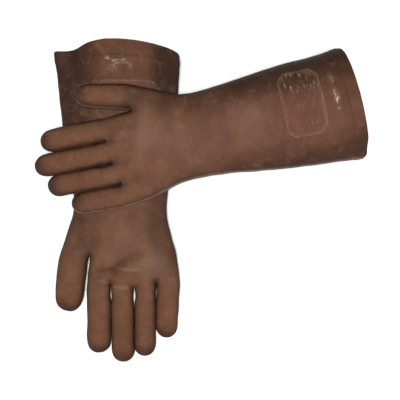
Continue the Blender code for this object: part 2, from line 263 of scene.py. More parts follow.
def measure_glove(name):
    """Measure a glove's outline, thickness and fingers on its CAD nodes."""
    glove = glove_frame(name)
    band, band_edges = node_mesh(name + "_cuff_band")
    band = to_local(glove, band)
    gauntlet, gauntlet_edges = node_mesh(name + "_gauntlet")
    gauntlet = to_local(glove, gauntlet)
    hand, hand_edges = node_mesh(name + "_hand")
    hand = to_local(glove, hand)
    low_x, high_x = band[:, 0].min(), band[:, 0].max()
    reach = 0.03 * (high_x - low_x)
    thumb_end = band[band[:, 0] > high_x - reach, 1].min()
    little_end = band[band[:, 0] < low_x + reach, 1].min()
    centre = abs(band[:, 0] - (low_x + high_x) / 2) < 14
    glove["cuff"] = (thumb_end + little_end) / 2
    glove["lean"] = (thumb_end - little_end) / 2
    glove["bow"] = glove["cuff"] - band[centre, 1].min()
    glove["lip_level"] = 0.0
    stations = np.linspace(glove["cuff"] + 15, -12, 9)
    cuts = [cut(gauntlet, gauntlet_edges, s) for s in stations]
    low, high, _, _ = cut(band, band_edges, glove["cuff"] + 4)
    first = glove["cuff"]
    glove["left"] = [(first, low + BAND_EXTRA)] + [(s, c[0]) for s, c in zip(stations, cuts)]
    glove["right"] = [(first, high - BAND_EXTRA)] + [(s, c[1]) for s, c in zip(stations, cuts)]
    for points in (band, gauntlet):
        real = points[:, 1].copy()
        for _ in range(6):
            points[:, 1] = real - cuff_shift(glove, points[:, 0], points[:, 1])
    cuts = [cut(gauntlet, gauntlet_edges, s) for s in stations]
    _, _, under, over = cut(band, band_edges, glove["cuff"] + 1)
    glove["under"] = [(first, under + BAND_EXTRA)] + [(s, c[2]) for s, c in zip(stations, cuts)]
    glove["over"] = [(first, over - BAND_EXTRA)] + [(s, c[3]) for s, c in zip(stations, cuts)]
    for station in HAND_CUTS:
        left, right, under, over = cut(hand, hand_edges, station)
        glove["left"].append((station, left))
        if station < THUMB_FROM:
            glove["right"].append((station, right))
        glove["under"].append((station, under))
        glove["over"].append((station, over))
    glove["fingers"] = [measure_finger(glove, finger) for finger in FINGERS]
    glove["lip_level"] = 1.0 if name == "lower" else 0.0
    label = to_local(glove, node_mesh(name + "_label_patch")[0])[:, :2]
    glove["label"] = (label.min(axis=0) + label.max(axis=0)) / 2
    return glove


def at_station(finger, station, offset=0.0):
    """Return a point on a finger's plan, in the glove's frame."""
    direction = finger["direction"]
    across = np.array((direction[1], -direction[0]))
    return finger["knuckle"] + direction * station + across * offset


def half_width(finger, station):
    """Return a finger's half width."""
    fuller = 0.42 * float(smoothstep((station - 3) / 6))
    return np.polyval(finger["width"], max(station, -6.0)) + fuller


def half_height(finger, station):
    """Return half of a finger's thickness."""
    return np.polyval(finger["half"], station)


# ---- The cage ----

def superellipse(u, power):
    """Return the height share of a rounded section at the width share u."""
    return np.clip(1 - np.abs(u) ** power, 0, 1) ** (1 / power)


class Cage:
    """A coarse quad mesh in the glove's flat frame; its heights are from the middle plane."""

    def __init__(self):
        self.points = []
        self.faces = []
        self.tags = []

    def add(self, x, y, z):
        """Add one point."""
        self.points.append((float(x), float(y), float(z)))
        return len(self.points) - 1

    def bridge(self, near, far, tag):
        """Join two closed loops, the near one first, and face outwards."""
        count = len(near)
        for k in range(count):
            after = (k + 1) % count
            self.faces.append((near[k], far[k], far[after], near[after]))
            self.tags.append(tag)


def find_roots(glove):
    """Find the crotches and the outer edges where the fingers leave the palm."""
    name, fingers = glove["name"], glove["fingers"]
    thumb, index, little = fingers[0], fingers[1], fingers[4]
    back = -THUMB_CROTCH_BACK[name]
    outer, crotch_y = at_station(thumb, back, half_width(thumb, back))[0], at_station(thumb, back)[1]
    inner = at_station(thumb, back, -half_width(thumb, back))[0]
    index_edge = at_station(index, -30.0, half_width(index, 0.0))[0]
    glove["crotch_y"] = crotch_y
    glove["crotch_x"] = (inner + index_edge) / 2 + THUMB_CROTCH_ASIDE[name]
    glove["right"].append((crotch_y, outer))
    roots = []
    for k in range(1, 4):
        back = CROTCH_BACK[name][k - 1]
        a = at_station(fingers[k], -back, -half_width(fingers[k], 0.0))
        b = at_station(fingers[k + 1], -back, half_width(fingers[k + 1], 0.0))
        roots.append(((a[0] + b[0]) / 2 + CROTCH_ASIDE[name][k - 1], min(a[1], b[1])))
    index_outer = at_station(index, -ROOT_BACK, half_width(index, -6.0))
    little_outer = at_station(little, -ROOT_BACK, -half_width(little, -6.0))
    glove["roots"] = [tuple(index_outer)] + roots + [tuple(little_outer)]
    glove["left"].append((little_outer[1], little_outer[0]))
    under = float(np.interp(LAST_CUT, *zip(*glove["under"])))
    glove["under"].append((index_outer[1] + 2, under))
    root_thickness = half_height(fingers[2], -ROOT_BACK) * 2 + 1.0
    glove["over"].append((index_outer[1] + 2, under + root_thickness))


def limits(glove, y):
    """Return the low x, high x, middle height and half thickness at a station."""
    under, over = smooth(glove["under"], y), smooth(glove["over"], y)
    left, right = smooth(glove["left"], y), smooth(glove["right"], y)
    return left, right, (under + over) / 2, (over - under) / 2


def pinch(glove, x, y, height):
    """Press the cuff's corner flat: on the lower glove's thumb side, the upper's little side."""
    left, right, _, _ = limits(glove, y)
    side = (2 * x - left - right) / (right - left)
    if glove["name"] == "upper":
        side = -side
    amount, start, reach = PINCH[glove["name"]]
    near = smoothstep((glove["cuff"] + PINCH_LENGTH - y) / PINCH_LENGTH)
    edge = smoothstep((side - start) / reach)
    pressed = np.minimum(height, PINCHED_HALF)
    return height + (pressed - height) * near * edge * amount


def add_row(cage, xs, ys, zs, right, left):
    """Add one row of points, and return them: side, top, side, underside."""
    top = [cage.add(x, y, z) for x, y, z in zip(xs, ys, zs)]
    low = [cage.add(x, y, -z) for x, y, z in zip(xs, ys, zs)]
    first = cage.add(right + EDGE_INSET / 2, ys[0], 0)
    last = cage.add(left - EDGE_INSET / 2, ys[-1], 0)
    return {"top": top, "low": low, "first": first, "last": last}


def body_row(cage, glove, y, shares):
    """Add one row of the body, with its columns at these shares across the glove."""
    left, right, _, half = limits(glove, y)
    middle, wide = (left + right) / 2, (right - left) / 2
    x = right - EDGE_INSET - shares * (right - left - 2 * EDGE_INSET)
    z = pinch(glove, x, y, half * superellipse((x - middle) / wide, smooth(FULLNESS, y)))
    return add_row(cage, x, np.full(len(x), y), z, right, left)


def loop_of(row, start, end):
    """Return the closed loop of a row between two columns."""
    top = row["top"][start:end + 1]
    low = row["low"][start:end + 1]
    return [row["first"]] + top + [row["last"]] + low[::-1]


def slot_room(centre, station):
    """Return how much a finger's side gives way where a slot opens next to it."""
    return SLOT_ROOM * math.exp(-((station - centre) / SLOT_REACH) ** 2) if centre is not None else 0.0


def finger_ring(cage, finger, station, share=1.0):
    """Add one ring of twelve points round a finger; it narrows where slots open at the root."""
    room = [slot_room(at, station) for at in finger["slots"]]
    swell = finger["swell"] * math.exp(-((station - 6) / 12) ** 2)
    wide = half_width(finger, station) * share * RING_GROW
    high = half_height(finger, station) * share * RING_GROW
    loop = []
    for k in range(12):
        angle = math.pi / 6 * k
        c, s = math.cos(angle), math.sin(angle)
        u = math.copysign(abs(c) ** (2 / FINGER_FULLNESS), c) if abs(c) > 1e-6 else 0.0
        v = math.copysign(abs(s) ** (2 / FINGER_FULLNESS), s) if abs(s) > 1e-6 else 0.0
        spare = swell if u > 0 else 0.0
        x, y = at_station(finger, station, u * (wide + spare - room[int(u < 0)]))
        loop.append(cage.add(x, y, v * high))
    return loop


def grow_finger(cage, finger, loop, number):
    """Carry a finger from its root loop to its closed tip."""
    split = finger["middle"] / 2
    radius = half_height(finger, finger["length"]) * 1.05
    straight = finger["length"] - radius
    stations = [FIRST_RING, -2.0, 4.0]
    for near, far in ((4.0, split), (split, straight)):
        count = max(2, round((far - near) / RING_STEP) + 1)
        stations += list(np.linspace(near, far, count)[1:])
    base, tip = FIRST_BASE + number, FIRST_TIP + number
    for station in stations:
        ring = finger_ring(cage, finger, station)
        cage.bridge(loop, ring, base if station <= split + 1e-6 else tip)
        loop = ring
    for angle in DOME_ANGLES[1:]:
        turn = math.radians(angle)
        ring = finger_ring(cage, finger, straight, math.cos(turn) ** DOME_FULLNESS)
        for k in ring:
            x, y, z = cage.points[k]
            x += finger["direction"][0] * radius * math.sin(turn)
            y += finger["direction"][1] * radius * math.sin(turn)
            cage.points[k] = (x, y, z)
        cage.bridge(loop, ring, tip)
        loop = ring
    close_finger(cage, finger, loop, straight, tip)


def close_finger(cage, finger, loop, straight, tag):
    """Close a finger's last ring with a row of points across its end."""
    wide = half_width(finger, straight) * math.cos(math.radians(DOME_ANGLES[-1])) ** DOME_FULLNESS
    middles = []
    for share in END_OFFSETS:
        station = finger["length"] + END_OUT - END_DROP * share ** 2
        x, y = at_station(finger, station, wide * share)
        middles.append(cage.add(x, y, 0))
    top, low = loop[1:6], loop[11:6:-1]
    for k in range(4):
        cage.faces.append((top[k], middles[k], middles[k + 1], top[k + 1]))
        cage.faces.append((low[k], low[k + 1], middles[k + 1], middles[k]))
    cage.faces.append((loop[0], low[0], middles[0], top[0]))
    cage.faces.append((loop[6], top[4], middles[4], low[4]))
    cage.tags += [tag] * 10


def body_rows(cage, glove, along):
    """Add the rows from the cuff to the thumb's crotch, and return the last one."""
    cuff, crotch_y = glove["cuff"], glove["crotch_y"]
    left, right, _, _ = limits(glove, crotch_y)
    crotch = (right - EDGE_INSET - glove["crotch_x"]) / (right - left - 2 * EDGE_INSET)
    even = np.linspace(0, 1, COLUMNS + 1)
    parted = np.concatenate((np.linspace(0, crotch, SPAN + 1)[:-1], crotch + (1 - crotch) * along))
    stations = [cuff + step for step in GAUNTLET_ROWS]
    count = round(-stations[-1] / ROW_STEP) + 1
    stations += list(np.linspace(stations[-1], 0.0, count)[1:])
    wrist_at = len(stations) - 1
    stations += list(np.linspace(0, crotch_y, PALM_ROWS)[1:])
    previous = None
    for k, y in enumerate(stations):
        share = smoothstep((y + 10) / (crotch_y + 10))
        row = body_row(cage, glove, y, even + (parted - even) * share)
        if previous:
            zone = GAUNTLET_ZONE if k <= wrist_at else HAND_ZONE
            zone = BAND_ZONE if y <= cuff + BAND_WIDTH else zone
            cage.bridge(loop_of(previous, 0, COLUMNS), loop_of(row, 0, COLUMNS), zone)
        previous = row
    return previous


def part_thumb(cage, glove, row):
    """Open the thumb's crotch in the last body row, grow the thumb, and return the row's rest."""
    x, y = glove["crotch_x"], glove["crotch_y"]
    half = limits(glove, y)[3]
    for name, sign in (("top", 1), ("low", -1)):
        cage.points[row[name][SPAN]] = (x, y - WEB_DEPTH, sign * half * 0.62)
    web = cage.add(x, y - 2 * WEB_DEPTH, 0)
    loop = [row["first"]] + row["top"][:SPAN + 1] + [web] + row["low"][:SPAN + 1][::-1]
    grow_finger(cage, glove["fingers"][0], loop, 0)
    return {"top": row["top"][SPAN:], "low": row["low"][SPAN:], "first": web, "last": row["last"]}


def palm_rows(cage, glove, near, along, root_x, root_y):
    """Add the rows from the thumb's crotch to the four finger roots, and return the last one."""
    slots = range(SPAN, ROOT_COLUMNS, SPAN)
    start = np.array([cage.points[k] for k in near["top"]])[:, :2]
    start[0] = (glove["crotch_x"], glove["crotch_y"])
    target_x = root_x[0] - along * (root_x[0] - root_x[-1])
    target_x[0] -= EDGE_INSET
    target_x[-1] += EDGE_INSET
    target_y = np.interp(np.arange(ROOT_COLUMNS + 1), np.arange(len(root_y)) * SPAN, root_y)
    edge_x = glove["crotch_x"] - EDGE_INSET
    for share, left_at_slots in PALM_STEPS:
        xs = start[:, 0] + (target_x - start[:, 0]) * share
        xs[0] = edge_x + (target_x[0] - edge_x) * share
        ys = start[:, 1] + (target_y - start[:, 1]) * share
        halves = np.array([limits(glove, y)[3] for y in ys])
        left, right = xs[-1] - EDGE_INSET, xs[0] + EDGE_INSET
        zs = halves * superellipse((2 * xs - left - right) / (right - left), PALM_FULLNESS)
        for c in slots:
            zs[c] *= left_at_slots
            if share == 1.0:
                ys[c] -= WEB_DEPTH
                zs[[c - 1, c + 1]] *= 0.93
        row = add_row(cage, xs, ys, zs, right, left)
        cage.bridge(loop_of(near, 0, ROOT_COLUMNS), loop_of(row, 0, ROOT_COLUMNS), HAND_ZONE)
        near = row
    return near


def build_cage(glove):
    """Build the whole glove's cage: gauntlet, palm, thumb, four fingers."""
    cage = Cage()
    find_roots(glove)
    root_x, root_y = np.array(glove["roots"]).T
    shares = (root_x[0] - root_x) / (root_x[0] - root_x[-1])
    along = np.interp(np.arange(ROOT_COLUMNS + 1), np.arange(len(root_x)) * SPAN, shares)
    row = body_rows(cage, glove, along)
    row = part_thumb(cage, glove, row)
    row = palm_rows(cage, glove, row, along, root_x, root_y)
    webs = [row["first"]]
    for c in range(SPAN, ROOT_COLUMNS, SPAN):
        x, y, _ = cage.points[row["top"][c]]
        webs.append(cage.add(x, y - WEB_DEPTH, 0))
    webs.append(row["last"])
    for k in range(1, len(FINGERS)):
        a, b = SPAN * (k - 1), SPAN * k
        loop = [webs[k - 1]] + row["top"][a:b + 1] + [webs[k]] + row["low"][a:b + 1][::-1]
        grow_finger(cage, glove["fingers"][k], loop, k)
    return cage


def subdivide(cage, name):
    """Round the cage off, and return points, quads and tags as arrays."""
    mesh = bpy.data.meshes.new(name)
    mesh.from_pydata(cage.points, [], cage.faces)
    for _ in range(max(cage.tags) + 1):
        mesh.materials.append(None)
    mesh.polygons.foreach_set("material_index", cage.tags)
    made = bpy.data.objects.new(name, mesh)
    bpy.context.scene.collection.objects.link(made)
    step = made.modifiers.new("round", "SUBSURF")
    step.levels = SUBDIVISIONS
    step.render_levels = SUBDIVISIONS
    graph = bpy.context.evaluated_depsgraph_get()
    fine = bpy.data.meshes.new_from_object(made.evaluated_get(graph))
    points = np.empty(len(fine.vertices) * 3)
    fine.vertices.foreach_get("co", points)
    quads = np.array([tuple(p.vertices) for p in fine.polygons], dtype=np.int64)
    tags = np.empty(len(fine.polygons), dtype=np.int32)
    fine.polygons.foreach_get("material_index", tags)
    bpy.data.objects.remove(made)
    bpy.data.meshes.remove(fine)
    bpy.data.meshes.remove(mesh)
    return points.reshape(-1, 3), quads, tags


def vertex_normals(points, quads):
    """Return area-weighted vertex normals."""
    a, b, c, d = (points[quads[:, k]] for k in range(4))
    face = np.cross(c - a, d - b)
    normals = np.zeros_like(points)
    for k in range(4):
        np.add.at(normals, quads[:, k], face)
    return normals / np.maximum(np.linalg.norm(normals, axis=1), 1e-12)[:, None]


def waves(points, count, shortest, longest, seed):
    """Return a gentle random field, about -1 to 1, as a sum of sines in three dimensions."""
    random = np.random.default_rng(seed)
    total = np.zeros(len(points))
    for _ in range(count):
        direction = random.normal(size=3)
        direction /= np.linalg.norm(direction)
        wave = math.exp(random.uniform(math.log(shortest), math.log(longest)))
        total += np.sin(points @ direction * 2 * math.pi / wave + random.uniform(0, 2 * math.pi))
    return total / math.sqrt(count / 2) / 2


def finger_of(tags, quads, count):
    """Return the number of the finger that each point belongs to, or -1."""
    owner = np.full(count, -1)
    for number in range(len(FINGERS)):
        mine = (tags == FIRST_BASE + number) | (tags == FIRST_TIP + number)
        owner[np.unique(quads[mine])] = number
    return owner


def stations_on(glove, flat, owner):
    """Return each finger point's station from its knuckle; body points get a low one."""
    station = np.full(len(flat), -99.0)
    for number, finger in enumerate(glove["fingers"]):
        mine = owner == number
        station[mine] = (flat[mine, :2] - finger["knuckle"]) @ finger["direction"]
    return station


def lay_out(glove, flat, owner):
    """Bring flat points to their place in the world, in millimetres."""
    x, y, z = flat.T
    station = stations_on(glove, flat, owner)
    height = limits(glove, y)[2]
    for number, finger in enumerate(glove["fingers"]):
        mine = owner == number
        own = np.polyval(finger["height"], station[mine])
        height[mine] += (own - height[mine]) * smoothstep((station[mine] + 12) / 12)
    left, right, _, _ = limits(glove, y)
    radius = CUFF_CORNER[glove["name"]]
    short = np.clip(radius - np.minimum(x - left, right - x), 0, radius)
    corner = radius - np.sqrt(radius ** 2 - short ** 2)
    near_cuff = smoothstep((glove["cuff"] + 12 - y) / 12)
    shifted = y + cuff_shift(glove, x, y) + 0.8 * corner * near_cuff
    plan = glove["origin"] + x[:, None] * glove["across"] + shifted[:, None] * glove["along"]
    return np.column_stack((plan, z + height)), station


def segment_distance(points, start, end):
    """Return the distance of plan points from a segment, and their share along it."""
    start, end = np.array(start, float), np.array(end, float)
    line = end - start
    share = np.clip((points - start) @ line / (line @ line), 0, 1)
    return np.linalg.norm(points - start - share[:, None] * line, axis=1), share


def band_share(glove, flat):
    """Return 1 on the thicker cuff band and 0 beyond it."""
    return smoothstep((glove["cuff"] + BAND_WIDTH + 1.2 - flat[:, 1]) / 2.4)


# Soft hollows (-) and swellings (+) on the top: start, end, height, half width
FOLDS = {
    "lower": [
        ((31, 77), (5, 71), -2.8, 4.6),
        ((5, 71), (-8, 61), -3.0, 4.6),
        ((-8, 61), (-29, 52), -2.4, 5.0),
        ((-2, 73), (-36, 60), 1.0, 8.0),
        ((34, 44), (20, 34), -1.3, 7.0),
        ((-34, 78), (-38, 70), -0.9, 4.0),
        ((-15, 80), (-15, 72), -0.9, 3.5),
        ((8, 82), (10, 74), -0.9, 3.5),
    ],
    "upper": [
        ((36, 58), (10, 64), -0.7, 5.0),
        ((12, 84), (9, 72), -0.8, 3.5),
        ((-12, 84), (-12, 72), -0.8, 3.5),
        ((-36, 80), (-34, 68), -0.8, 3.5),
        ((20, 8), (-24, 2), -0.5, 6.0),
    ],
}


def folds(glove, flat):
    """Return the height of the soft folds in the top of a glove."""
    total = np.zeros(len(flat))
    top = smoothstep(flat[:, 2] / 6)
    for start, end, height, wide in FOLDS[glove["name"]]:
        gap, share = segment_distance(flat[:, :2], start, end)
        taper = np.sin(math.pi * np.clip(share, 0.06, 0.94)) ** 0.5
        total += height * top * taper * np.exp(-(gap / wide) ** 2)
    return total


def relief(glove, flat):
    """Return how far each point stands out from the plain shape, in millimetres."""
    seed = GLOVES.index(glove["name"]) * 10
    out = 0.30 * waves(flat, 24, 14, 40, seed + 1) + 0.45 * waves(flat, 16, 35, 90, seed + 2)
    out += BAND_EXTRA * band_share(glove, flat)
    out += (0.9 if glove["name"] == "upper" else 0.25) * np.exp(-(flat[:, 2] / 1.4) ** 2)
    out += folds(glove, flat)
    return out


def make_shell(glove):
    """Build the glove's closed skin, and everything its pieces need."""
    cage = build_cage(glove)
    flat, quads, tags = subdivide(cage, glove["name"])
    count = len(flat)
    owner = finger_of(tags, quads, count)
    outer, station = lay_out(glove, flat, owner)
    normals = vertex_normals(outer, quads)
    outer = outer + normals * relief(glove, flat)[:, None]
    low = outer[:, 2] - FLOOR_CLEARANCE
    outer[:, 2] = FLOOR_CLEARANCE + (low + np.sqrt(low ** 2 + 0.3)) / 2
    normals = vertex_normals(outer, quads)
    thick = WALL + BAND_EXTRA * band_share(glove, flat)
    inner = outer - normals * thick[:, None]
    # The cuff's edge, rounded over from the outer to the inner skin
    sides = np.concatenate([quads[:, [k, (k + 1) % 4]] for k in range(4)])
    keys = np.sort(sides, axis=1)
    _, first, uses = np.unique(keys, axis=0, return_index=True, return_counts=True)
    rim = sides[first[uses == 1]]
    edge = np.unique(rim)
    order = {v: k for k, v in enumerate(edge)}
    towards = -np.array((*glove["along"], 0.0))
    radius = thick[edge] / 2
    centre = outer[edge] - normals[edge] * radius[:, None]
    flow = towards - normals[edge] * (normals[edge] @ towards)[:, None]
    flow /= np.linalg.norm(flow, axis=1)[:, None]
    rows, lip_faces = [], []
    for angle in (45, 90, 135):
        turn = math.radians(angle)
        rows.append(centre + (normals[edge] * math.cos(turn) + flow * math.sin(turn)) * radius[:, None])
    levels = [edge] + [2 * count + k * len(edge) + np.arange(len(edge)) for k in range(3)] + [edge + count]
    for near, far in zip(levels, levels[1:]):
        for a, b in rim:
            ka, kb = order[a], order[b]
            lip_faces.append((near[kb], near[ka], far[ka], far[kb]))
    points = np.concatenate([outer, inner] + rows)
    faces = np.concatenate([quads, quads[:, ::-1] + count, np.array(lip_faces)])
    all_tags = np.concatenate([tags, tags, np.full(len(lip_faces), BAND_ZONE)])
    flats = np.concatenate([flat, flat] + [flat[edge]] * 3)
    owners = np.concatenate([owner, owner] + [owner[edge]] * 3)
    stations = np.concatenate([station, station] + [station[edge]] * 3)
    lip_inside = [np.full(len(edge), share) for share in (0, 0.3, 0.7)]
    inside = np.concatenate([np.zeros(count), np.ones(count)] + lip_inside)
    return {
        "points": points,
        "faces": faces,
        "tags": all_tags,
        "normals": vertex_normals(points, faces),
        "flat": flats,
        "owner": owners,
        "station": stations,
        "inside": inside,
        "count": count,
        "quads": quads,
        "quad_tags": tags,
    }


# ---- Colour of the rubber by place ----

HAND = np.array((0.126, 0.056, 0.031))
FINGER = np.array((0.126, 0.053, 0.029))
# TIP is painted shade: the colour the fingertips darken to
TIP = np.array((0.060, 0.026, 0.015))
GAUNTLET = np.array((0.112, 0.046, 0.026))
CUFF = np.array((0.086, 0.036, 0.019))
DARK = np.array((0.030, 0.014, 0.009))
PALE = np.array((0.34, 0.22, 0.15))
BLOOM = np.array((0.20, 0.115, 0.08))

# The body (-1), thumb and little finger get a pale painted highlight along the parting ridge
RIDGE_LIT = (-1, 0, 4)

# Painted shade: how the body darkens to its sides, little-finger side first: side (-1 or 1),
# share on the gauntlet, share on the hand, where it starts, over what reach (half widths)
PAINTED_SIDE_SHADE = {
    "lower": [(-1, 0.86, 0.38, 0.44, 0.28), (1, 0.84, 0.12, 0.06, 0.62)],
    "upper": [(-1, 0.50, 0.12, 0.35, 0.60), (1, 0.92, 0.36, 0.08, 0.86)],
}

# Painted shade and shadow, as soft dark patches in hollows and where the gloves lie on each other: x, y,
# radius, strength
SHADES = {
    "lower": [(36, 40, 10, 0.50), (42, 12, 10, 0.55), (7, 71, 6, 0.30), (4, -104, 13, 0.35)],
    "upper": [(38, 22, 14, 0.30), (28, -8, 14, 0.25), (44, 62, 12, 0.25), (26, 84, 12, 0.20)],
}

# Worn pale marks: x from the glove's middle, distance from the cuff, half length, half width, strength
WORN_MARKS = {
    "lower": [
        (-1, 17, 5, 2.4, 0.7),
        (-10, 16, 3.5, 2.0, 0.8),
        (-16, 19, 1.8, 1.5, 1.2),
        (3, 22, 7, 3, 0.4),
        (8, 13, 2.5, 1.8, 0.5),
    ],
    "upper": [
        (28, 23, 6, 2.4, 0.55),
        (13, 22.5, 5, 2.4, 0.6),
        (5, 22, 4.5, 2.2, 0.95),
        (-5, 22, 2.6, 1.8, 0.7),
    ],
}

# Dusty bloom on the top of the hands: x, y, radius, strength
BLOOMS = {
    "lower": [(-34, 64, 15, 0.55), (14, 56, 13, 0.22), (-6, 30, 16, 0.15)],
    "upper": [
        (6, 52, 16, 0.42),
        (2, 20, 18, 0.15),
        (30, 48, 9, 0.2),
        (-14, 8, 14, 0.15),
        (6, -62, 20, 0.3),
    ],
}

# Pale creases across the knuckles: start, end, strength
CREASES = {
    "lower": [
        ((16, 86), (22, 83), 0.6),
        ((20, 77), (24, 76), 0.6),
        ((6, 90), (-8, 91), 0.75),
        ((2, 70), (-22, 70), 0.6),
        ((20, 112), (24, 113), 0.35),
    ],
    "upper": [((20, 76), (14, 70), 0.25), ((40, 100), (38, 108), 0.15)],
}


def mix(a, b, share):
    """Mix rows of colour by a share for each row."""
    return a + (b - a) * np.asarray(share)[:, None]


def dab(colour, paint, flat, spots, shown=1.0):
    """Blend paint in at soft round spots: x, y, radius, strength."""
    for x, y, radius, strength in spots:
        gap = np.hypot(flat[:, 0] - x, flat[:, 1] - y)
        colour = mix(colour, paint, strength * np.exp(-(gap / radius) ** 2) * shown)
    return colour


def crotch_points(glove):
    """Return the plan points of the four crotches."""
    found = [(glove["crotch_x"], glove["crotch_y"])]
    return np.array(found + [p for p in glove["roots"][1:4]])


def body_tone(glove, flat):
    """Return the rubber's colour by its place on the body of the glove, with painted shade at its sides
    and in soft dark patches.
    """
    x, y, z = flat.T
    colour = np.tile(GAUNTLET, (len(flat), 1))
    hand = smoothstep((y + 45) / 85)
    colour = mix(colour, HAND, hand)
    colour = mix(colour, CUFF, 0.7 * smoothstep((glove["cuff"] + 38 - y) / 38))
    left, right, _, _ = limits(glove, y)
    side = (2 * x - left - right) / (right - left)
    # Painted shade: the body darkens towards its sides
    along = smoothstep((-y - 5) / 55)
    for sign, low, high, start, reach in PAINTED_SIDE_SHADE[glove["name"]]:
        share = (high + (low - high) * along) * (1 - smoothstep((y - 58) / 24))
        colour = mix(colour, DARK, share * smoothstep((sign * side - start) / reach))
    colour = dab(colour, BLOOM, flat, BLOOMS[glove["name"]])
    # Painted shade and shadow in soft dark patches on the top
    return dab(colour, DARK, flat, SHADES[glove["name"]], z > 0)


def tones(glove, shell):
    """Return each point's colour, with its painted shade and highlight, and how chalky it is."""
    flat, station, owner = shell["flat"], shell["station"], shell["owner"]
    x, y, z = flat.T
    left, right, _, _ = limits(glove, y)
    colour = body_tone(glove, flat)
    chalk = np.zeros(len(flat))
    for number, finger in enumerate(glove["fingers"]):
        mine = owner == number
        s = station[mine]
        part = mix(colour[mine], FINGER, smoothstep((s + 10) / 30))
        # Painted shade: the fingertips darken towards their ends
        end = smoothstep((s - finger["length"] + 20) / 18)
        colour[mine] = mix(part, TIP, end)
    # Painted shade in the crotches between the fingers; the upper glove also gets real chalk there
    for point in crotch_points(glove):
        gap = np.linalg.norm(flat[:, :2] - point, axis=1)
        colour = mix(colour, DARK, 0.72 * np.exp(-(gap / 5.0) ** 2))
        if glove["name"] == "upper":
            chalk += 0.3 * np.exp(-(gap / 3.8) ** 2) * (y < point[1] + 1)
    for dx, dy, long, wide, strength in WORN_MARKS[glove["name"]]:
        reach = ((x - (left + right) / 2 - dx) / long) ** 2 + ((y - glove["cuff"] - dy) / wide) ** 2
        chalk += strength * np.exp(-reach) * (z > 0)
    for start, end, strength in CREASES[glove["name"]]:
        gap, _ = segment_distance(flat[:, :2], start, end)
        colour = mix(colour, BLOOM, strength * np.exp(-(gap / 1.2) ** 2) * (z > 0))
    # Painted shade in the hollows of the folds
    hollow = np.clip(-folds(glove, flat) / 2.6, 0, 1)
    colour = mix(colour, DARK, 0.45 * hollow)
    # Painted shade: the outer skin darkens where it turns away from straight up
    slope = 1 - np.abs(shell["normals"][:, 2])
    colour = mix(colour, DARK, 0.78 * smoothstep(slope / 0.95) * (shell["inside"] < 0.1))
    # Painted highlight: a pale line along the upper glove's parting ridge, on sides facing away from the
    # thumb
    if glove["name"] == "upper":
        facing = shell["normals"][:, :2] @ glove["across"]
        ridge = np.exp(-((z - 2.0) / 1.8) ** 2) * smoothstep(-2 * facing)
        ridge *= np.isin(owner, RIDGE_LIT)
        colour = mix(colour, PALE, 0.52 * ridge * (shell["inside"] < 0.1))
    soft = waves(flat, 18, 18, 60, 77)
    colour *= (1 + 0.09 * soft)[:, None]
    # Painted shade: the inside skin and the inner half of the cuff's lip are darkened
    inner = shell["inside"]
    colour = mix(colour, DARK, 0.6 * inner)
    return colour, np.clip(chalk, 0, 1.4) * (inner < 0.1)


# ---- Materials ----

class Nodes:
    """Adds shader nodes and links them."""

    def __init__(self, name):
        self.material = bpy.data.materials.new(name)
        self.material.use_nodes = True
        self.tree = self.material.node_tree
        self.shader = self.tree.nodes["Principled BSDF"]

    def add(self, kind, **settings):
        """Add one node with its settings."""
        node = self.tree.nodes.new(kind)
        for key, value in settings.items():
            setattr(node, key, value)
        return node

    def feed(self, socket, value):
        """Link a socket, or set its constant."""
        if isinstance(value, bpy.types.NodeSocket):
            self.tree.links.new(value, socket)
        else:
            socket.default_value = value

    def attribute(self, name, output="Vector"):
        """Read a mesh attribute."""
        return self.add("ShaderNodeAttribute", attribute_name=name).outputs[output]

    def stretched(self, where, scale):
        """Return the place, scaled along each axis."""
        node = self.add("ShaderNodeMapping")
        self.feed(node.inputs["Vector"], where)
        node.inputs["Scale"].default_value = scale
        return node.outputs[0]

    def noise(self, where, scale, detail=3.0, roughness=0.55, distortion=0.0):
        """Return a noise value, 0 to 1."""
        node = self.add("ShaderNodeTexNoise")
        self.feed(node.inputs["Vector"], where)
        self.feed(node.inputs["Scale"], scale)
        self.feed(node.inputs["Detail"], detail)
        self.feed(node.inputs["Roughness"], roughness)
        self.feed(node.inputs["Distortion"], distortion)
        return node.outputs["Fac"]

    def math(self, kind, a, b=0.0, c=0.0, clamp=False):
        """Return the result of one sum."""
        node = self.add("ShaderNodeMath", operation=kind, use_clamp=clamp)
        for socket, value in zip(node.inputs, (a, b, c)):
            self.feed(socket, value)
        return node.outputs[0]

    def span(self, value, low, high, to_low=0.0, to_high=1.0):
        """Map a value from one span to another."""
        node = self.add("ShaderNodeMapRange")
        keys = ("From Min", "From Max", "To Min", "To Max")
        for key, number in zip(keys, (low, high, to_low, to_high)):
            node.inputs[key].default_value = number
        self.feed(node.inputs["Value"], value)
        return node.outputs["Result"]

    def blend(self, share, a, b, kind="MIX"):
        """Mix two colours."""
        node = self.add("ShaderNodeMix", data_type="RGBA", blend_type=kind)
        sockets = [s for s in node.inputs if s.type == "RGBA"]
        self.feed(node.inputs[0], share)
        self.feed(sockets[0], a)
        self.feed(sockets[1], b)
        return [s for s in node.outputs if s.type == "RGBA"][0]


DUST = (0.24, 0.155, 0.105, 1)
SCRATCH = (0.28, 0.20, 0.15, 1)
CHALK = (0.34, 0.24, 0.18, 1)
FLECK = (0.50, 0.40, 0.33, 1)


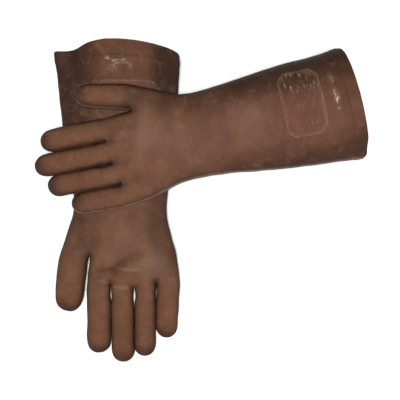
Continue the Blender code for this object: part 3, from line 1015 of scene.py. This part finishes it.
def rubber(name, roughness, bump):
    """Make a worn, dusty rubber finish that reads its tone from the mesh."""
    n = Nodes(name)
    where = n.attribute("place")
    tone = n.attribute("tone", "Color")
    chalk = n.attribute("chalk", "Fac")
    cloud = n.noise(where, 55.0, 4.0, 0.6)
    mottle = n.noise(where, 260.0, 5.0, 0.65)
    grain = n.noise(where, 1500.0, 3.0, 0.6)
    shade = n.math("ADD", n.span(cloud, 0.3, 0.7, -0.11, 0.11), n.span(mottle, 0.3, 0.7, -0.10, 0.10))
    shade = n.math("ADD", shade, n.span(grain, 0.3, 0.7, -0.05, 0.05))
    shade = n.math("ADD", shade, 1.0)
    grey = n.add("ShaderNodeCombineColor")
    for socket in grey.inputs:
        n.feed(socket, shade)
    colour = n.blend(1.0, tone, grey.outputs[0], "MULTIPLY")
    dust = n.noise(where, 95.0, 6.0, 0.7, 0.4)
    dust = n.span(dust, 0.52, 0.78, 0.0, 0.30)
    colour = n.blend(dust, colour, DUST)
    scratch = n.noise(n.stretched(where, (1.0, 0.25, 1.0)), 900.0, 2.0, 0.5)
    scratch = n.span(scratch, 0.71, 0.77, 0.0, 0.25)
    colour = n.blend(scratch, colour, SCRATCH)
    fleck = n.noise(n.stretched(where, (0.4, 1.0, 1.0)), 560.0, 3.0, 0.6)
    fleck = n.math("ADD", fleck, n.math("MULTIPLY", chalk, 0.16))
    fleck = n.math("MULTIPLY", n.span(fleck, 0.60, 0.72), n.math("MULTIPLY", chalk, 1.2, clamp=True))
    colour = n.blend(n.math("MULTIPLY", chalk, 0.30, clamp=True), colour, CHALK)
    colour = n.blend(fleck, colour, FLECK)
    n.feed(n.shader.inputs["Base Color"], colour)
    rough = n.math("ADD", n.span(mottle, 0.3, 0.7, -0.07, 0.07), roughness)
    rough = n.math("ADD", rough, n.math("MULTIPLY", dust, 0.5), clamp=True)
    n.feed(n.shader.inputs["Roughness"], rough)
    n.shader.inputs["Specular IOR Level"].default_value = 0.10
    height = n.math("ADD", n.math("MULTIPLY", mottle, 0.7), n.math("MULTIPLY", grain, 0.3))
    relief_node = n.add("ShaderNodeBump")
    relief_node.inputs["Strength"].default_value = bump
    relief_node.inputs["Distance"].default_value = 0.0006
    n.feed(relief_node.inputs["Height"], height)
    n.feed(n.shader.inputs["Normal"], relief_node.outputs[0])
    return n.material


# Each finish: name, roughness, bump
FINISHES = (
    ("hand_rubber", 0.70, 0.30),
    ("gauntlet_rubber", 0.62, 0.25),
    ("cuff_rubber", 0.60, 0.25),
    ("label_rubber", 0.68, 0.35),
)
RUBBER = {finish[0]: rubber(*finish) for finish in FINISHES}


# ---- Pieces ----

def new_piece(name, points, faces, normals, data, finish):
    """Make one mesh object in metres with its attributes and finish."""
    mesh = bpy.data.meshes.new(name)
    mesh.from_pydata((points * MM).tolist(), [], [tuple(int(v) for v in f) for f in faces])
    mesh.polygons.foreach_set("use_smooth", [True] * len(mesh.polygons))
    place = mesh.attributes.new("place", "FLOAT_VECTOR", "POINT")
    shift = (1.0 if name.startswith("upper") else 0.0, 0.0, 0.0)
    place.data.foreach_set("vector", (data["flat"] * MM + shift).astype(np.float32).ravel())
    tone = mesh.attributes.new("tone", "FLOAT_COLOR", "POINT")
    rgba = np.column_stack((data["tone"], np.ones(len(points))))
    tone.data.foreach_set("color", rgba.astype(np.float32).ravel())
    chalk = mesh.attributes.new("chalk", "FLOAT", "POINT")
    chalk.data.foreach_set("value", data["chalk"].astype(np.float32))
    mesh.materials.append(RUBBER[finish])
    if normals is not None:
        mesh.normals_split_custom_set_from_vertices(normals.tolist())
    made = bpy.data.objects.new(name, mesh)
    bpy.context.scene.collection.objects.link(made)
    return made


def cut_piece(name, shell, tag, finish):
    """Take one zone out of the shell, and close its ends between the two skins."""
    chosen = shell["faces"][shell["tags"] == tag]
    quads = shell["quads"][shell["quad_tags"] == tag]
    count = shell["count"]
    sides = np.concatenate([quads[:, [k, (k + 1) % 4]] for k in range(4)])
    keys = np.sort(sides, axis=1)
    _, first, uses = np.unique(keys, axis=0, return_index=True, return_counts=True)
    border = sides[first[uses == 1]]
    if tag == BAND_ZONE:
        whole = np.sort(np.concatenate([shell["quads"][:, [k, (k + 1) % 4]] for k in range(4)]), axis=1)
        keys, uses = np.unique(whole, axis=0, return_counts=True)
        open_edges = set(map(tuple, keys[uses == 1]))
        border = np.array([e for e in border if tuple(sorted(e)) not in open_edges])
    rims = np.column_stack((border[:, 1], border[:, 0], border[:, 0] + count, border[:, 1] + count))
    faces = np.concatenate([chosen, rims])
    used, remapped = np.unique(faces, return_inverse=True)
    faces = remapped.reshape(faces.shape)
    data = {key: shell[key][used] for key in ("flat", "tone", "chalk")}
    return new_piece(name, shell["points"][used], faces, shell["normals"][used], data, finish)


def point(values):
    """Turn millimetres into a point in metres."""
    return tuple(float(v) * MM for v in values)


def bend_at(piece):
    """Bake a piece's place into its mesh."""
    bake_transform(piece)


def dress(glove):
    """Make every piece of one glove; attach its cuff band and label, and the lower glove's pieces, to the
    bodies they move with.
    """
    name = glove["name"]
    shell = make_shell(glove)
    shell["tone"], shell["chalk"] = tones(glove, shell)
    hand = cut_piece(name + "_hand_skin", shell, HAND_ZONE, "hand_rubber")
    gauntlet = cut_piece(name + "_gauntlet_skin", shell, GAUNTLET_ZONE, "gauntlet_rubber")
    band = cut_piece(name + "_cuff_band_skin", shell, BAND_ZONE, "cuff_rubber")
    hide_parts(name + "_hand")
    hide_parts(name + "_gauntlet")
    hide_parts(name + "_cuff_band")
    if name == "upper":
        for piece in (hand, gauntlet):
            bend_at(piece)
        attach(band, "upper_forearm")
        palm_body, cuff_body = "upper_hand", "upper_forearm"
    else:
        palm_body = cuff_body = "lower_glove"
        for piece in (hand, gauntlet, band):
            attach(piece, "lower_glove")
    for number, (title, finger) in enumerate(zip(FINGERS, glove["fingers"])):
        base_body, tip_body = f"{name}_{title}_base", f"{name}_{title}_tip"
        base = cut_piece(base_body + "_skin", shell, FIRST_BASE + number, "hand_rubber")
        tip = cut_piece(tip_body + "_skin", shell, FIRST_TIP + number, "hand_rubber")
        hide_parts(base_body)
        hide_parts(tip_body)
        bend_at(base)
        bend_at(tip)
    make_label(glove, shell, cuff_body)


def label_inset(x, y):
    """Return how far a point is inside the label's octagon."""
    straight = np.minimum(LABEL_WIDTH / 2 - np.abs(x), LABEL_LENGTH / 2 - np.abs(y))
    corner = (LABEL_WIDTH / 2 + LABEL_LENGTH / 2 - LABEL_CHAMFER - np.abs(x) - np.abs(y)) / math.sqrt(2)
    return np.minimum(straight, corner)


def closed_sheet(rows, columns):
    """Return the quads of a sheet: a grid on top, its copy below, and the edge between."""
    total = rows * columns
    faces = []
    for i in range(rows - 1):
        for j in range(columns - 1):
            a = i * columns + j
            quad = (a, a + columns, a + columns + 1, a + 1)
            faces.append(quad)
            faces.append(tuple(v + total for v in quad[::-1]))
    outline = [(i, 0) for i in range(rows)] + [(rows - 1, j) for j in range(1, columns)]
    outline += [(i, columns - 1) for i in range(rows - 2, -1, -1)]
    outline += [(0, j) for j in range(columns - 2, 0, -1)]
    outline = [i * columns + j for i, j in outline]
    for a, b in zip(outline, outline[1:] + outline[:1]):
        faces.append((b, a, a + total, b + total))
    return faces


def label_look(glove, flat, x, y, border):
    """Return the label's colour and chalk: a pale border, and painted shade with streaks of wear on one
    side.
    """
    border = border * np.clip(0.75 + 0.5 * waves(flat, 24, 4.0, 16.0, 9), 0.1, 1)
    colour = mix(body_tone(glove, flat) * 1.04, PALE, 0.34 * border)
    thumbwards = 1 if glove["name"] == "upper" else -1
    # Painted shade darkens one side of the label; the same share also sets its streaks of wear
    shade_and_wear = smoothstep((thumbwards * x - 2) / 18) * smoothstep(label_inset(x, y) / 5)
    colour = mix(colour, DARK, 0.30 * shade_and_wear)
    streaks = np.clip(waves(flat * (0.22, 1.0, 1.0), 30, 1.8, 5.0, 5), 0, 1)
    chalk = 0.26 * border + 0.40 * shade_and_wear * streaks + 0.16 * streaks
    return colour, chalk * (1.0 if glove["name"] == "upper" else 0.5)


def make_label(glove, shell, body):
    """Make the thin octagonal label that hugs the gauntlet's top."""
    name = glove["name"]
    outside = shell["points"][:shell["count"]]
    tree = BVHTree.FromPolygons(outside.tolist(), shell["quads"].tolist())
    rows, columns = (round(size / LABEL_STEP) + 1 for size in (LABEL_WIDTH, LABEL_LENGTH))
    grid_x = np.linspace(-LABEL_WIDTH / 2, LABEL_WIDTH / 2, rows)
    grid_y = np.linspace(-LABEL_LENGTH / 2, LABEL_LENGTH / 2, columns)
    xs, ys = (grid.ravel() for grid in np.meshgrid(grid_x, grid_y, indexing="ij"))
    # Squeeze the grid's corners onto the chamfers
    corner = LABEL_WIDTH / 2 + LABEL_LENGTH / 2 - LABEL_CHAMFER
    pull = np.maximum(np.abs(xs) + np.abs(ys) - corner, 0) / 2
    xs = xs - np.sign(xs) * pull
    ys = ys - np.sign(ys) * pull
    inset = label_inset(xs, ys)
    edge_line = np.exp(-((inset - 1.3) / 0.5) ** 2)
    border = edge_line + 0.4 * np.exp(-((inset - 3.4) / 0.5) ** 2)
    lift = 0.10 + 0.28 * border - 0.45 * np.exp(-(inset / 0.35) ** 2)
    middle_x, middle_y = glove["label"]
    tops, lows, flats = [], [], []
    for x, y, high in zip(xs + middle_x, ys + middle_y, lift):
        plan = glove["origin"] + x * glove["across"] + y * glove["along"]
        hit, normal, _, _ = tree.ray_cast(Vector((*plan, HIGH_ABOVE)), Vector((0, 0, -1)))
        tops.append(np.array(hit) + np.array(normal) * high)
        lows.append(np.array(hit) - np.array(normal) * LABEL_SUNK)
        flats.append((x, y, ON_TOP))
    flat = np.array(flats * 2)
    border = np.tile(border, 2)
    colour, chalk = label_look(glove, flat, flat[:, 0] - middle_x, flat[:, 1] - middle_y, border)
    data = {"flat": flat, "tone": colour, "chalk": chalk}
    faces = closed_sheet(rows, columns)
    label = new_piece(name + "_label", np.array(tops + lows), faces, None, data, "label_rubber")
    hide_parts(name + "_label_patch")
    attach(label, body)


for glove_name in GLOVES:
    dress(measure_glove(glove_name))


# ---- Floor, light and camera ----

def plain_material(name, colour, roughness):
    """Make a plain matt finish."""
    made = bpy.data.materials.new(name)
    made.use_nodes = True
    shader = made.node_tree.nodes["Principled BSDF"]
    shader.inputs["Base Color"].default_value = (*colour, 1)
    shader.inputs["Roughness"].default_value = roughness
    shader.inputs["Specular IOR Level"].default_value = 0.0
    return made


def make_floor():
    """Make a wide pale floor."""
    mesh = bpy.data.meshes.new("floor")
    size = 6.0
    corners = [(-size, -size, 0), (size, -size, 0), (size, size, 0), (-size, size, 0)]
    mesh.from_pydata(corners, [], [(0, 1, 2, 3)])
    mesh.materials.append(plain_material("floor", (0.93, 0.93, 0.93), 1.0))
    floor = bpy.data.objects.new("floor", mesh)
    bpy.context.scene.collection.objects.link(floor)


def area_light(name, place, aim, size, power):
    """Make a soft round light."""
    data = bpy.data.lights.new(name, "AREA")
    data.shape = "DISK"
    data.size = size
    data.energy = power
    lamp = bpy.data.objects.new(name, data)
    bpy.context.scene.collection.objects.link(lamp)
    lamp.location = place
    lamp.rotation_euler = (Vector(aim) - Vector(place)).to_track_quat("-Z", "Y").to_euler()


def make_camera():
    """Look straight down on the pair."""
    data = bpy.data.cameras.new("camera")
    data.sensor_width = 36.0
    half_view = 0.2825
    data.lens = data.sensor_width / 2 / half_view
    camera = bpy.data.objects.new("camera", data)
    camera.location = (-0.0011, 0.0062, 0.815)
    bpy.context.scene.collection.objects.link(camera)
    bpy.context.scene.camera = camera


def make_world():
    """Light the scene softly from all round, less towards +Y."""
    world = bpy.data.worlds.new("studio")
    world.use_nodes = True
    tree = world.node_tree
    background = tree.nodes["Background"]
    background.inputs["Strength"].default_value = 1.0
    sky = tree.nodes.new("ShaderNodeTexCoord")
    split = tree.nodes.new("ShaderNodeSeparateXYZ")
    fade = tree.nodes.new("ShaderNodeMapRange")
    for key, number in (("From Min", -1.0), ("From Max", 1.0), ("To Min", 0.26), ("To Max", 0.03)):
        fade.inputs[key].default_value = number
    tree.links.new(sky.outputs["Generated"], split.inputs[0])
    tree.links.new(split.outputs["Y"], fade.inputs["Value"])
    tree.links.new(fade.outputs["Result"], background.inputs["Color"])
    bpy.context.scene.world = world


make_floor()
area_light("key", (0.0, -0.12, 2.0), (0, 0, 0), 0.45, 46.0)
make_world()
make_camera()
bpy.context.scene.view_settings.view_transform = "Standard"
